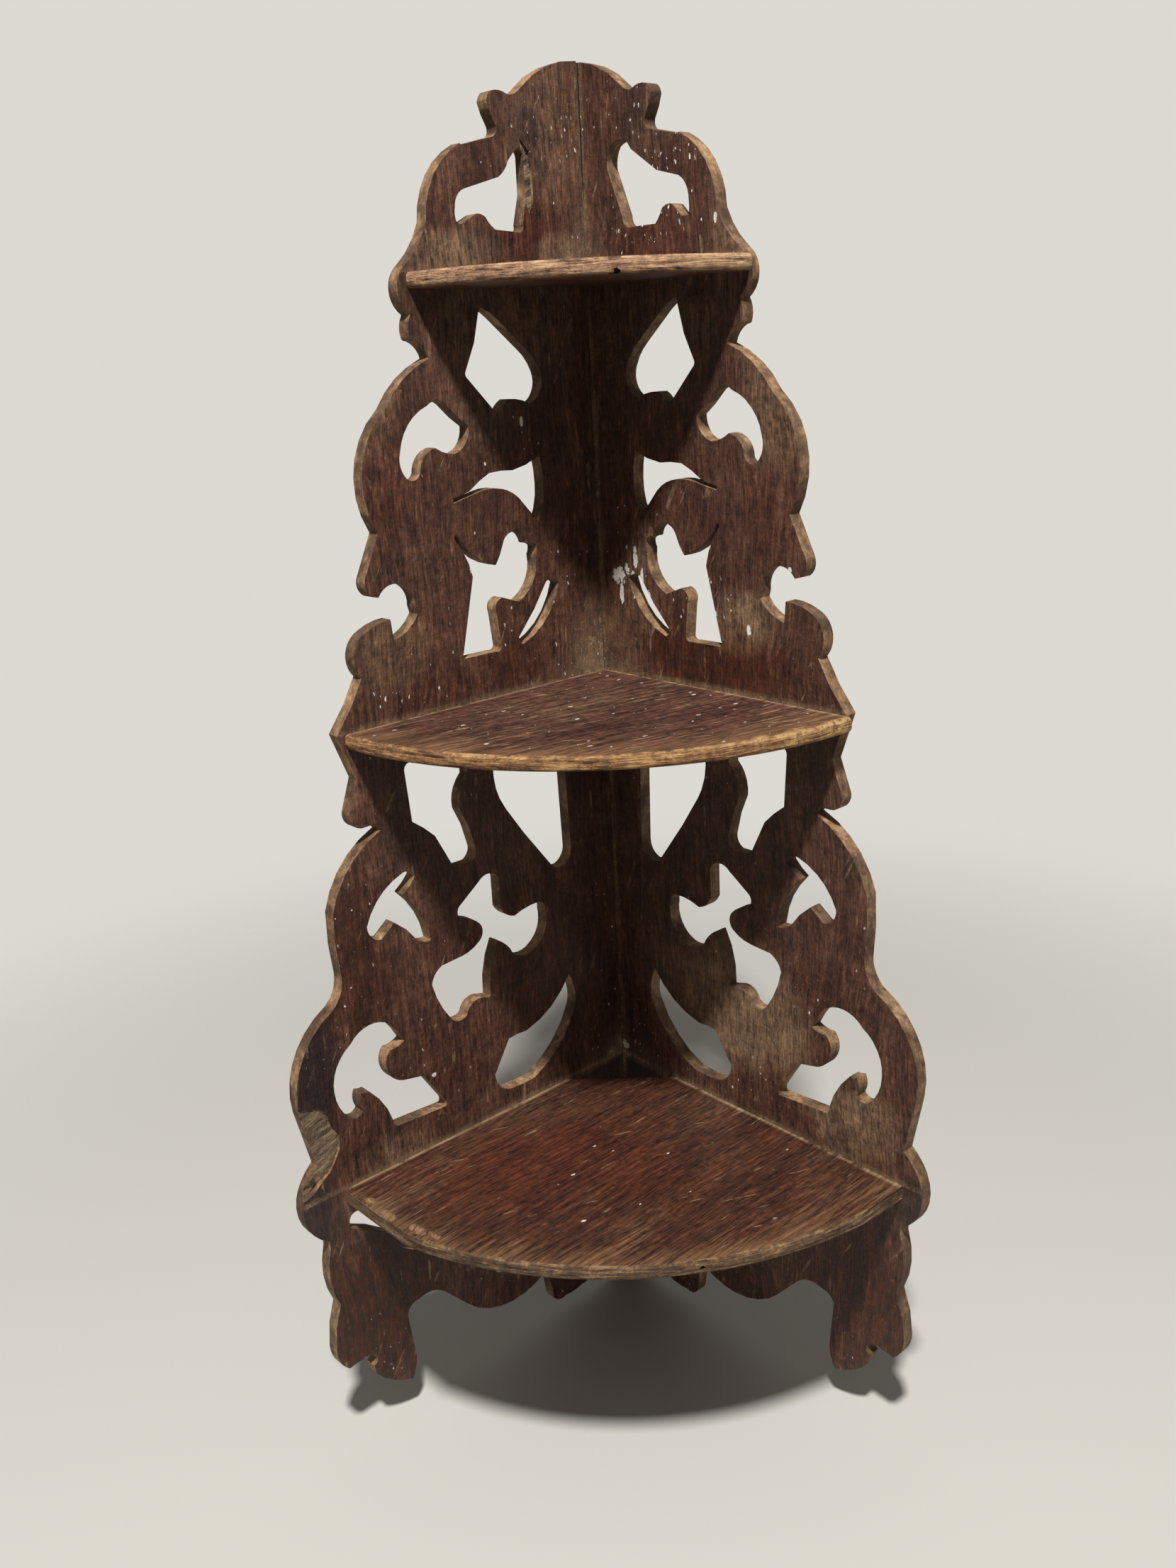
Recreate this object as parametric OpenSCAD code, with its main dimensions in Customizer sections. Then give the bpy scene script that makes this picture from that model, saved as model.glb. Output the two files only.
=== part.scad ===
// Corner wall shelf: two fretwork side panels that meet at a right angle and carry three quarter-round
// shelves. The origin is the corner of the two walls at the height of the panels' lowest point, with +Z
// up. The left panel lies on the wall X = 0 and the right panel on the wall Y = 0.

/* [Boards] */
// Thickness of the panels and of the shelves
board = 8; // [6:0.5:12]
// Radius of the worn rounding along the shelves' fronts
front_round = 2.5; // [0.5:0.1:2.9]

/* [Heights] */
// From the panels' lowest point to the bottom shelf's top face
foot_h = 170; // [150:1:200]
// From the bottom shelf's top face to the middle shelf's
lower_bay_h = 254; // [220:1:290]
// From the middle shelf's top face to the top shelf's
upper_bay_h = 222; // [190:1:260]
// From the top shelf's top face to the crown
crown_h = 103; // [85:1:130]

/* [Shelves] */
// Radius of the bottom shelf, from the inner corner of the panels
bottom_shelf_r = 221; // [200:1:240]
// Radius of the middle shelf, from the inner corner of the panels
middle_shelf_r = 182; // [165:1:200]
// Radius of the top shelf, from the inner corner of the panels
top_shelf_r = 120; // [105:1:140]
// Length trimmed off the bottom shelf's end at the left panel
left_trim = 9; // [0:1:15]
// Length trimmed off the bottom shelf's end at the right panel
right_trim = 3; // [0:1:15]
// Length cut off each side of the bottom shelf's inner corner
corner_cut = 48; // [20:1:60]

/* [Nails] */
// Diameter of a nail's shank
nail_d = 1.4; // [1:0.1:2]
// Length of a nail, with its head
nail_length = 25; // [18:1:30]
// Diameter of a nail's head
nail_head_d = 2.6; // [2:0.1:3.5]
// Thickness of a nail's head, which is set flush with the back of the board
nail_head_h = 1; // [0.5:0.1:1.5]
// Distance of a shelf's nails from the ends of the edge that they hold
shelf_nail_inset = 25; // [15:1:35]
// Number of nails along the corner seam
seam_nails = 6; // [3:1:9]
// Distance of the seam's first and last nail from its ends
seam_nail_inset = 50; // [30:1:80]

/* [Hidden] */

bottom_shelf_z = foot_h;
middle_shelf_z = bottom_shelf_z + lower_bay_h;
top_shelf_z = middle_shelf_z + upper_bay_h;
panel_h = top_shelf_z + crown_h;

// Most that one facet of a drawn arc turns, in degrees
ARC_TURN = 12;
// Facets of a shelf's round front, counted on a whole circle
SHELF_FACETS = 180;
NAIL_FACETS = 24;

PANEL_COLOUR = "#4a2718";
SHELF_COLOUR = "#6b3a22";
NAIL_COLOUR = "#5a5a5c";

// The shelves' heights and radii, from the bottom up
SHELF_HEIGHTS = [bottom_shelf_z, middle_shelf_z, top_shelf_z];
SHELF_RADII = [bottom_shelf_r, middle_shelf_r, top_shelf_r];

// The fretwork pattern is drawn with the tips of the toes at height 0, for shelves at these heights and
// with these radii. Where a shelf differs, the pattern moves and widens with it.
DRAWN_LOW = -24;
DRAWN_HEIGHTS = [146, 400, 622];
DRAWN_RADII = [221, 182, 120];
DRAWN_TOP = 725;

// Each row of the pattern is a corner, as distance from the seam and height, and how far the arc to the
// next corner bows out to the left of the way there. The rows run clockwise, so a cut-out's arc with a
// positive bow widens it.
CROWN = [
    [0, 725, 4], [40, 709, -1], [48, 706, 4], [67, 700, -1.5], [59, 689, 0.5], [80, 682, 6.5],
    [105, 645, -1.5], [119, 626, 6.5], [119, 602, 1.5], [120, 590, -2]
];
UPPER_EDGE = [
    [110, 581, 3], [139, 558, 11.5], [150, 498, 0], [160, 477, 2], [157, 467, 0],
    [153, 466, -9.5], [131, 458, 0], [130, 454, -2], [146, 443, 0], [147, 454, 1],
    [163, 450, 6], [168, 427, -1], [186, 400, -0.5]
];
MIDDLE_EDGE = [
    [177, 375, 0], [183, 359, 4], [175, 348, 0], [169, 348, 0], [166, 344, 6], [200, 306, 1],
    [199, 270, -2], [206, 254, 10], [233, 200, 0.5], [226, 167, 1], [236, 154, 7]
];
FOOT = [
    [225, 119, 0], [225, 114, 3.5], [223, 76, 1.5], [229, 48, 2], [222, 32, -0.5], [210, 33, 0],
    [207, 28, 0], [205, 18, 2.5], [181, 0, 1], [177, 14, 0], [180, 45, -2], [172, 51, -3],
    [153, 46, 0], [137, 28, 11.5], [75, 18, -1], [70, -4, 2.5], [60, -9, 1], [45, -8, 1],
    [38, -6, 3], [0, -24, 0]
];

CROWN_SCROLL = [
    [30, 680, 2.5], [46, 678, -1.5], [68, 664, 4.5], [86, 647, 1], [82, 645, -2], [68, 650, 0],
    [58, 642, 1], [43, 641, 1.5], [39, 647, 0], [29, 671, 1.5]
];
UPPER_SAIL = [
    [76, 602, -1.5], [87, 573, 0.5], [86, 570, 0], [67, 550, -1], [60, 558, -1], [45, 555, 4],
    [37, 571, 1], [46, 583, 0], [65, 599, 0.5], [74, 604, 0.5]
];
UPPER_BEAN = [
    [88, 546, -0.5], [101, 557, 2.5], [113, 558, 4], [132, 536, 2], [129, 523, 2], [121, 525, -3],
    [110, 537, 1], [98, 533, 3]
];
UPPER_LEAF = [
    [41, 527, -1], [60, 521, 0.5], [76, 521, 0.5], [90, 513, -0.3], [101, 510, 0], [101, 508, 0],
    [84, 512, -1], [68, 512, -1.5], [54, 503, 0], [44, 492, 1.5], [39, 512, 0.5]
];
UPPER_HORN = [
    [47, 479, 0.5], [53, 481, 6.5], [70, 483, -0.5], [76, 472, -3.5], [101, 491, 0.5],
    [102, 489, -1.5], [92, 468, -1], [102, 428, 1], [101, 425, 0.5], [80, 425, 1], [76, 427, 0],
    [78, 446, -2.5], [73, 454, 0], [62, 450, 5], [48, 474, 0.5]
];
UPPER_BLADE = [
    [32, 456, 1.5], [41, 458, -1], [63, 430, 1], [60, 426, 5]
];
MIDDLE_BOOT = [
    [109, 374, 0.5], [144, 376, 1], [147, 372, 0], [145, 343, -0.5], [131, 331, -0.5],
    [121, 311, 1], [117, 309, 0], [109, 309, 2], [105, 318, 1], [113, 341, -2.5], [106, 360, 1]
];
MIDDLE_WINDOW = [
    [36, 376, 0], [86, 376, 1], [88, 355, 1.5], [81, 334, -0.5], [69, 316, 0], [48, 288, 0.5],
    [41, 287, 2], [34, 297, 0]
];
MIDDLE_CLOVER = [
    [90, 294, 3.5], [104, 296, 0], [118, 286, 3], [117, 277, -1], [106, 271, -2.5], [107, 260, -1],
    [120, 255, 0], [134, 254, 1.5], [142, 245, 1.5], [131, 220, 2.5], [120, 218, -2.5],
    [109, 225, 0], [102, 223, -2.5], [94, 256, -1.5], [83, 244, 3], [66, 242, 4], [57, 263, 2],
    [62, 270, 1], [80, 267, -1.5], [90, 275, 0]
];
MIDDLE_HOOK = [
    [147, 312, 2], [155, 316, 4], [180, 293, 2.5], [172, 283, 0], [163, 290, -1], [149, 275, 1],
    [140, 272, 3], [156, 304, 0.5]
];
LOWER_CRESCENT = [
    [38, 206, 0.5], [41, 216, -4.5], [77, 191, 0.5], [91, 191, 0.5], [103, 172, 4], [90, 158, 0.5],
    [73, 158, 5], [38, 193, 1]
];
LOWER_FAN = [
    [164, 219, 0.5], [172, 232, 5.5], [198, 230, 4], [211, 206, 2], [203, 187, 2], [195, 188, -1.5],
    [195, 199, 0.5], [190, 198, -2], [176, 173, 1.5], [172, 169, 0], [140, 167, 0.5], [140, 171, 0],
    [153, 192, 0], [167, 195, -2], [177, 206, -1.5], [174, 217, 1]
];
APRON_LEAF = [
    [150, 100, 3], [180, 127, 1.5], [205, 129, 2], [211, 124, 1], [209, 119, -1], [187, 105, 3]
];
APRON_DROP = [
    [100, 84, 4], [114, 45, 2], [110, 34, 2], [100, 30, 3], [92, 42, 3]
];
CUT_OUTS = [CROWN_SCROLL, UPPER_SAIL, UPPER_BEAN, UPPER_LEAF, UPPER_HORN, UPPER_BLADE, MIDDLE_BOOT,
    MIDDLE_WINDOW, MIDDLE_CLOVER, MIDDLE_HOOK, LOWER_CRESCENT, LOWER_FAN, APRON_LEAF, APRON_DROP];

// A height of the pattern, moved to its place on a panel
function placed_height(z) = lookup(z, [
    [DRAWN_LOW, 0],
    for (i = [0:len(DRAWN_HEIGHTS) - 1]) [DRAWN_HEIGHTS[i], SHELF_HEIGHTS[i]],
    [DRAWN_TOP, panel_h]
]);

// How much wider than drawn the panel is at a height of the pattern
function widening(z) = lookup(z, [
    for (i = [0:len(DRAWN_HEIGHTS) - 1]) [DRAWN_HEIGHTS[i], SHELF_RADII[i]/DRAWN_RADII[i]]
]);

// A point of the pattern, moved to its place on a panel
function placed(p) = [p.x*widening(p.y), placed_height(p.y)];

// Points of the arc from p to q that bows out to the left of the way, without q itself
function arc(p, q, bow) =
    let (
        way = q - p,
        half_turn = 2*atan2(2*bow, norm(way)),
        steps = max(1, ceil(2*abs(half_turn)/ARC_TURN)),
        heading = atan2(way.y, way.x)
    )
    steps == 1 ? [p] : [
        for (i = [0:steps - 1])
        let (
            done = i/steps,
            reach = norm(way)*sin(done*half_turn)/sin(half_turn),
            angle = heading + half_turn*(1 - done)
        )
        p + reach*[cos(angle), sin(angle)]
    ];

// Points round the closed outline that the rows describe
function outline(rows) = [
    for (i = [0:len(rows) - 1])
    let (
        here = rows[i],
        next = rows[(i + 1)%len(rows)]
    )
    each arc([here[0], here[1]], [next[0], next[1]], here[2])
];

// The same outline, at its place on a panel
function placed_outline(rows) = [for (p = outline(rows)) placed(p)];

// The panel's face, with the seam along height and the free edge towards +X
module fret_face() {
    difference() {
        polygon(placed_outline(concat(CROWN, UPPER_EDGE, MIDDLE_EDGE, FOOT)));
        for (cut_out = CUT_OUTS) polygon(placed_outline(cut_out));
    }
}

// A panel that stands on the seam and reaches along +X, with its back on the plane Y = 0
module fret_board() {
    rotate([90, 0, 0])
    linear_extrude(board)
    fret_face();
}

// A nail driven along +X, with its head's outer face at the origin
module nail() {
    rotate([0, 90, 0]) {
        cylinder(d = nail_head_d, h = nail_head_h, $fn = NAIL_FACETS);
        cylinder(d = nail_d, h = nail_length, $fn = NAIL_FACETS);
    }
}

// Nails through both panels into the edges of the shelf at this height
module nails_of_shelf(height, radius, cut = 0) {
    for (along = [cut + shelf_nail_inset, radius - shelf_nail_inset]) {
        translate([0, -board - along, height - board/2]) nail();
        translate([board + along, 0, height - board/2]) rotate([0, 0, -90]) nail();
    }
}

module all_shelf_nails() {
    nails_of_shelf(top_shelf_z, top_shelf_r);
    nails_of_shelf(middle_shelf_z, middle_shelf_r);
    nails_of_shelf(bottom_shelf_z, bottom_shelf_r, corner_cut);
}

// Nails through the back of the right panel into the left panel's seam edge
module all_seam_nails() {
    spacing = (panel_h - 2*seam_nail_inset)/(seam_nails - 1);
    for (i = [0:seam_nails - 1])
    translate([board/2, 0, seam_nail_inset + i*spacing])
    rotate([0, 0, -90])
    nail();
}

// Half of a round board's section, with its rim rounded above and below
module rim_section(radius) {
    // Bow of a quarter circle of the rounding's radius, to the right of the way
    bow = -front_round*(1 - cos(45));
    polygon(outline([
        [0, 0, 0], [radius - front_round, 0, bow], [radius, front_round, 0],
        [radius, board - front_round, bow], [radius - front_round, board, 0], [0, board, 0]
    ]));
}

// A quarter-round shelf whose top face is at this height, with its ends trimmed and its corner cut
module quarter_shelf(height, radius, trims = [0, 0], cut = 0) {
    translate([board, -board, height - board])
    difference() {
        intersection() {
            rotate_extrude($fn = SHELF_FACETS) rim_section(radius);
            translate([0, -radius + trims[0], 0]) cube([radius - trims[1], radius - trims[0], board]);
        }
        if (cut > 0) {
            translate([0, 0, -board])
            linear_extrude(3*board)
            polygon([[-board, board], [cut + board, board], [-board, -cut - board]]);
        }
    }
}

module left_fret_panel() {
    color(PANEL_COLOUR)
    difference() {
        translate([0, -board, 0]) rotate([0, 0, -90]) mirror([0, 1, 0]) fret_board();
        all_shelf_nails();
        all_seam_nails();
    }
}

module right_fret_panel() {
    color(PANEL_COLOUR)
    difference() {
        fret_board();
        all_shelf_nails();
        all_seam_nails();
    }
}

module top_shelf() {
    color(SHELF_COLOUR)
    difference() {
        quarter_shelf(top_shelf_z, top_shelf_r);
        nails_of_shelf(top_shelf_z, top_shelf_r);
    }
}

module middle_shelf() {
    color(SHELF_COLOUR)
    difference() {
        quarter_shelf(middle_shelf_z, middle_shelf_r);
        nails_of_shelf(middle_shelf_z, middle_shelf_r);
    }
}

module bottom_shelf() {
    color(SHELF_COLOUR)
    difference() {
        quarter_shelf(bottom_shelf_z, bottom_shelf_r, [left_trim, right_trim], corner_cut);
        nails_of_shelf(bottom_shelf_z, bottom_shelf_r, corner_cut);
    }
}

module seam_nails_group() {
    color(NAIL_COLOUR) all_seam_nails();
}

module top_shelf_nails() {
    color(NAIL_COLOUR) nails_of_shelf(top_shelf_z, top_shelf_r);
}

module middle_shelf_nails() {
    color(NAIL_COLOUR) nails_of_shelf(middle_shelf_z, middle_shelf_r);
}

module bottom_shelf_nails() {
    color(NAIL_COLOUR) nails_of_shelf(bottom_shelf_z, bottom_shelf_r, corner_cut);
}

left_fret_panel();
right_fret_panel();
top_shelf();
middle_shelf();
bottom_shelf();
seam_nails_group();
top_shelf_nails();
middle_shelf_nails();
bottom_shelf_nails();
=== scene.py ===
"""Corner wall shelf: two fretwork panels that meet at a right angle and carry three quarter-round shelves.
Everything is in metres, with the corner of the two walls at the origin and +Z up."""
import math

import bpy
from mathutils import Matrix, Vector, noise


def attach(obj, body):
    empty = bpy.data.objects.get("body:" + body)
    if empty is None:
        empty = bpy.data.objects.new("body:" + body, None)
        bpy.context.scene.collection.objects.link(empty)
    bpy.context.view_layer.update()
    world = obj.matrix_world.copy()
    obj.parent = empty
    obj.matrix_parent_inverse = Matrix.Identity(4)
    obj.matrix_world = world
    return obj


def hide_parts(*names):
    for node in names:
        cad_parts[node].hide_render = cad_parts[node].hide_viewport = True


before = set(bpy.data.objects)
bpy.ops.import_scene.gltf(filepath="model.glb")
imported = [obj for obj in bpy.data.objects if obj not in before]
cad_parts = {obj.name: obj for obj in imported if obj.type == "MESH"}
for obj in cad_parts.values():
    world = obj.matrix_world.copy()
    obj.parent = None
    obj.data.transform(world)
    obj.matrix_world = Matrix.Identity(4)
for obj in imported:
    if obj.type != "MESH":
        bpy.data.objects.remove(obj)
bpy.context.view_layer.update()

# ---- Left fretwork panel ----
# One thin softwood board, sawn to its outline with a fret saw and pierced. Its grain stands upright, it was
# stained dark red-brown, and its seam edge is nailed against the right panel.

BOARD = 0.008
TOE_TIPS = 0.024
PANEL_EDGE_WEAR = 0.0008
POINTS_APART = 0.00001
IN_PLANE = 0.000001
FLAT_ANGLE = math.radians(0.3)
SHARP_ANGLE = math.radians(50)
SMOOTH_ANGLE = math.radians(40)
SLIVER_AREA = 1e-9
ARC_TURN = math.radians(12)

# The crown scroll is filled and then cut again, with the side of the knob above it and the notch between the
# toes. Each row is a corner in millimetres and the bow of the arc that follows it, as drawn() takes them.
SCROLL_PATCH = [(25, 637, 0), (25, 684, 0), (50, 684, 0), (72, 675, 0), (91, 664, 0), (91, 637, 0)]
KNOB_SIDE = [(54, 708, 2.2), (62, 702, 0.5), (57, 691, -1), (59, 686, 0.5), (80, 681, 0), (84, 720, 0),
             (54, 720, 0)]
TOE_NOTCH = [(207, 32, 0), (212, 34, 0), (212, 22, 0), (206, 24.5, 3)]

# Each shelf's top above the toe tips, and how far its dust reaches up the corner
SHELF_TOPS = (0.622, 0.400, 0.146)
DUST_REACHES = (0.045, 0.075, 0.022)

# A row for the painted shade on the sawn side of the crown's knob, as spots() takes it, and how far in
# millimetres a tearing tool stands out from the face
KNOB_SIDE_SHADE = ((59, 693, 7, 6.5, 1.15),)
TEAR_STANDS_OUT = 9


def colour(code):
    """A colour written as six hex digits, as the linear numbers that a socket takes."""
    parts = [int(code[i:i + 2], 16)/255 for i in (0, 2, 4)]
    return (*[p/12.92 if p <= 0.04045 else ((p + 0.055)/1.055)**2.4 for p in parts], 1)


class Value:
    """A number or colour that varies over a surface, with the arithmetic of the Math node."""

    def __init__(self, finish, socket):
        self.finish = finish
        self.socket = socket

    def math(self, operation, *others):
        return self.finish.node("ShaderNodeMath", {"operation": operation}, dict(enumerate((self, *others))))

    def __add__(self, other):
        return self.math("ADD", other)

    def __sub__(self, other):
        return self.math("SUBTRACT", other)

    def __mul__(self, other):
        return self.math("MULTIPLY", other)

    def __truediv__(self, other):
        return self.math("DIVIDE", other)

    __radd__ = __add__
    __rmul__ = __mul__

    def __rsub__(self, other):
        return self.finish.node("ShaderNodeMath", {"operation": "SUBTRACT"}, {0: other, 1: self})

    def __neg__(self):
        return self*-1

    def __abs__(self):
        return self.math("ABSOLUTE")

    def least(self, other):
        return self.math("MINIMUM", other)

    def most(self, other):
        return self.math("MAXIMUM", other)

    def rise(self, low, high):
        """0 up to low, 1 from high on, and smooth between. It falls where low is the larger."""
        return self.finish.node("ShaderNodeMapRange", {"interpolation_type": "SMOOTHSTEP"},
                                {"Value": self, "From Min": low, "From Max": high})

    def parts(self):
        """The X, Y and Z of a place."""
        return [self.finish.node("ShaderNodeSeparateXYZ", {}, {0: self}, i) for i in range(3)]


class Finish:
    """A material, and the one way in which a node is added to it."""

    def __init__(self, name):
        self.material = bpy.data.materials.new(name)
        self.material.use_nodes = True
        self.tree = self.material.node_tree
        self.shader = self.tree.nodes["Principled BSDF"]

    def node(self, kind, settings, sockets, output=0):
        node = self.tree.nodes.new(kind)
        for name, value in settings.items():
            if name == "stops":
                ramp = node.color_ramp
                for place, tone in value[1:-1]:
                    ramp.elements.new(place).color = colour(tone)
                ends = (ramp.elements[0], value[0]), (ramp.elements[-1], value[-1])
                for element, (place, tone) in ends:
                    element.position = place
                    element.color = colour(tone)
            else:
                setattr(node, name, value)
        for name, value in sockets.items():
            self.feed(node.inputs[name], value)
        return Value(self, node.outputs[output])

    def feed(self, socket, value):
        if isinstance(value, Value):
            self.tree.links.new(value.socket, socket)
        else:
            socket.default_value = value

    def place(self):
        return self.node("ShaderNodeTexCoord", {}, {}, "Object")

    def facing(self):
        return self.node("ShaderNodeTexCoord", {}, {}, "Normal")

    def shifted(self, place, way):
        return self.node("ShaderNodeVectorMath", {"operation": "ADD"}, {0: place, 1: way})

    def swayed(self, place, scale, most):
        """The place, moved about by a slow noise by up to half of most each way."""
        sway = self.node("ShaderNodeTexNoise", {}, {"Vector": place, "Scale": scale, "Detail": 2.0}, "Color")
        return self.node("ShaderNodeVectorMath", {"operation": "MULTIPLY_ADD"}, {0: sway, 1: most, 2: place})

    def stretched(self, place, scale, turn=(0, 0, 0)):
        """The place, turned by some degrees about each axis and then stretched or squeezed along each."""
        turned = self.node("ShaderNodeMapping", {"vector_type": "POINT"},
                           {"Vector": place, "Rotation": [math.radians(angle) for angle in turn]})
        return self.node("ShaderNodeVectorMath", {"operation": "MULTIPLY"}, {0: turned, 1: scale})

    def cloud(self, place, scale, detail=2.0, roughness=0.5, bend=0.0):
        return self.node("ShaderNodeTexNoise", {},
                         {"Vector": place, "Scale": scale, "Detail": detail, "Roughness": roughness,
                          "Distortion": bend})

    def ramp(self, value, *stops):
        return self.node("ShaderNodeValToRGB", {"stops": stops}, {0: value})

    def mix(self, under, over, share, way="MIX"):
        """The second colour laid over the first, as far as share says."""
        return self.node("ShaderNodeMix", {"data_type": "RGBA", "blend_type": way},
                         {0: share, 6: under, 7: over}, 2)

    def shaded(self, tone, factor):
        """The colour, made lighter or darker by a factor."""
        return self.node("ShaderNodeVectorMath", {"operation": "SCALE"}, {0: tone, "Scale": factor})

    def scattered(self, across, up, scale, size, empty):
        """Small spots, at most one in each cell of a grid of this scale, with a share of the cells empty."""
        spread = self.node("ShaderNodeCombineXYZ", {}, {0: across, 1: up})
        cells = {"Vector": spread, "Scale": scale}
        chance = self.node("ShaderNodeTexVoronoi", {"voronoi_dimensions": "2D"}, cells, "Color").parts()
        near = self.node("ShaderNodeTexVoronoi", {"voronoi_dimensions": "2D"}, cells, "Distance")
        near = near/(chance[1]*chance[1] + 0.35)
        return near.rise(size*1.2, size*0.8)*chance[0].rise(empty, empty + 0.01)*(chance[2] + 0.5).least(1)

    def spots(self, across, up, ragged, rows, soft=1.0):
        """Ragged patches. Each row is a patch's middle and half sizes in millimetres, and its strength."""
        found = across*0
        for middle_across, middle_up, half_across, half_up, strength in rows:
            a = (across - middle_across/1000)*(1000/half_across)
            b = (up - middle_up/1000)*(1000/half_up)
            found = found.most((a*a + b*b + ragged).rise(1 + 0.6*soft, 1 - 0.9*soft)*strength)
        return found


def merged(board):
    """Merges the board's points that lie together, and its faces that lie flat to each other."""
    bpy.ops.object.mode_set(mode="EDIT")
    bpy.ops.mesh.select_all(action="SELECT")
    bpy.ops.mesh.remove_doubles(threshold=POINTS_APART)
    bpy.ops.mesh.dissolve_limited(angle_limit=FLAT_ANGLE)
    bpy.ops.object.mode_set(mode="OBJECT")
    return board


def whole_copy(node, name):
    """A copy of a solid's mesh, with its triangles merged and its flat faces whole again."""
    board = bpy.data.objects.new(name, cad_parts[node].data.copy())
    board.data.materials.clear()
    bpy.context.scene.collection.objects.link(board)
    bpy.ops.object.select_all(action="DESELECT")
    board.select_set(True)
    bpy.context.view_layer.objects.active = board
    bpy.ops.mesh.customdata_custom_splitnormals_clear()
    return merged(board)


def worn_edges(board, most, seed):
    """Rounds the board's sharp edges, more where they are worn and less elsewhere. Slivers are passed over."""
    mesh = board.data
    sides = {}
    for face in mesh.polygons:
        if face.area > SLIVER_AREA:
            for key in face.edge_keys:
                sides.setdefault(key, []).append(face.normal)
    wear = mesh.attributes.new("bevel_weight_edge", "FLOAT", "EDGE")
    for edge in mesh.edges:
        normals = sides.get(edge.key, ())
        if len(normals) == 2 and normals[0].angle(normals[1]) > SHARP_ANGLE:
            middle = (mesh.vertices[edge.vertices[0]].co + mesh.vertices[edge.vertices[1]].co)/2
            waves = noise.noise(middle*45 + Vector((seed, 0, 0))) + 0.6*noise.noise(middle*140)
            wear.data[edge.index].value = min(1, max(0.35, 0.6 + 0.5*waves))
    rounding = board.modifiers.new("worn edges", "BEVEL")
    rounding.limit_method = "WEIGHT"
    rounding.width = most
    rounding.segments = 2
    rounding.use_clamp_overlap = False
    rounding.loop_slide = False
    bpy.ops.object.modifier_apply(modifier=rounding.name)


def clean_faces(board, side):
    """Fills a panel's two flat faces anew round their openings. side is 0 for the panel across X, 1 for Y."""
    mesh = board.data
    middle = BOARD/2 if side == 0 else -BOARD/2
    for level in (0, BOARD):
        def in_plane(indices):
            return all(abs(abs(mesh.vertices[index].co[side]) - level) < IN_PLANE for index in indices)

        mesh.polygons.foreach_set("select", [in_plane(face.vertices) for face in mesh.polygons])
        bpy.ops.object.mode_set(mode="EDIT")
        bpy.ops.mesh.select_mode(type="FACE")
        bpy.ops.mesh.delete(type="FACE")
        bpy.ops.mesh.select_mode(type="EDGE")
        bpy.ops.mesh.select_non_manifold(extend=False)
        bpy.ops.object.mode_set(mode="OBJECT")
        rims = [edge.select and in_plane(edge.vertices) for edge in mesh.edges]
        bpy.ops.object.mode_set(mode="EDIT")
        bpy.ops.mesh.select_all(action="DESELECT")
        bpy.ops.object.mode_set(mode="OBJECT")
        mesh.edges.foreach_set("select", rims)
        bpy.ops.object.mode_set(mode="EDIT")
        bpy.ops.mesh.fill(use_beauty=True)
        bpy.ops.mesh.select_all(action="DESELECT")
        bpy.ops.object.mode_set(mode="OBJECT")
        for face in mesh.polygons:
            if in_plane(face.vertices) and face.normal[side]*(face.center[side] - middle) < 0:
                face.flip()
        mesh.update()


def carved(board, piece, operation):
    """Takes the piece out of the board, or joins it on, and removes it."""
    bpy.ops.object.select_all(action="DESELECT")
    board.select_set(True)
    bpy.context.view_layer.objects.active = board
    carving = board.modifiers.new("carving", "BOOLEAN")
    carving.operation = operation
    carving.solver = "EXACT"
    carving.object = piece
    bpy.ops.object.modifier_apply(modifier=carving.name)
    bpy.data.objects.remove(piece)


def slab(corners, away):
    """A solid between a flat outline and the same outline moved away from it."""
    bpy.ops.object.select_all(action="DESELECT")
    bpy.ops.mesh.primitive_circle_add(vertices=len(corners), radius=0.01, fill_type="NGON", location=(0, 0, 0))
    piece = bpy.context.object
    for vertex, corner in zip(piece.data.vertices, corners):
        vertex.co = corner
    bpy.ops.object.mode_set(mode="EDIT")
    bpy.ops.mesh.select_all(action="SELECT")
    bpy.ops.mesh.extrude_region_move(TRANSFORM_OT_translate={"value": away})
    bpy.ops.mesh.select_all(action="SELECT")
    bpy.ops.mesh.normals_make_consistent(inside=False)
    bpy.ops.mesh.select_all(action="DESELECT")
    bpy.ops.object.mode_set(mode="OBJECT")
    return piece


def drawn(rows):
    """Points round an outline. Each row is a corner in millimetres, as distance from the seam and height, and
    how far the arc to the next corner bows out to the left of the way there."""
    points = []
    for (across, up, bow), after in zip(rows, rows[1:] + rows[:1]):
        way = Vector((after[0] - across, after[1] - up))
        half_turn = 2*math.atan2(2*bow, way.length)
        steps = max(1, math.ceil(2*abs(half_turn)/ARC_TURN))
        for step in range(steps):
            reach = way.length*math.sin(step/steps*half_turn)/math.sin(half_turn) if step else 0
            angle = math.atan2(way.y, way.x) + half_turn*(1 - step/steps)
            points.append((across + reach*math.cos(angle), up + reach*math.sin(angle)))
    return points


def sawn(board, spot, rows, operation="DIFFERENCE"):
    """Saws an outline out of a board, or fits a piece of the board's thickness in where it is a union. spot
    gives the point at some millimetres across the face, up it and into it."""
    spare = 1 if operation == "DIFFERENCE" else 0
    depth = BOARD*1000 + 2*spare
    corners = [spot(across, up, -spare) for across, up in drawn(rows)]
    carved(board, slab(corners, (spot(0, 0, 1) - spot(0, 0, 0))*depth), operation)


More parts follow.
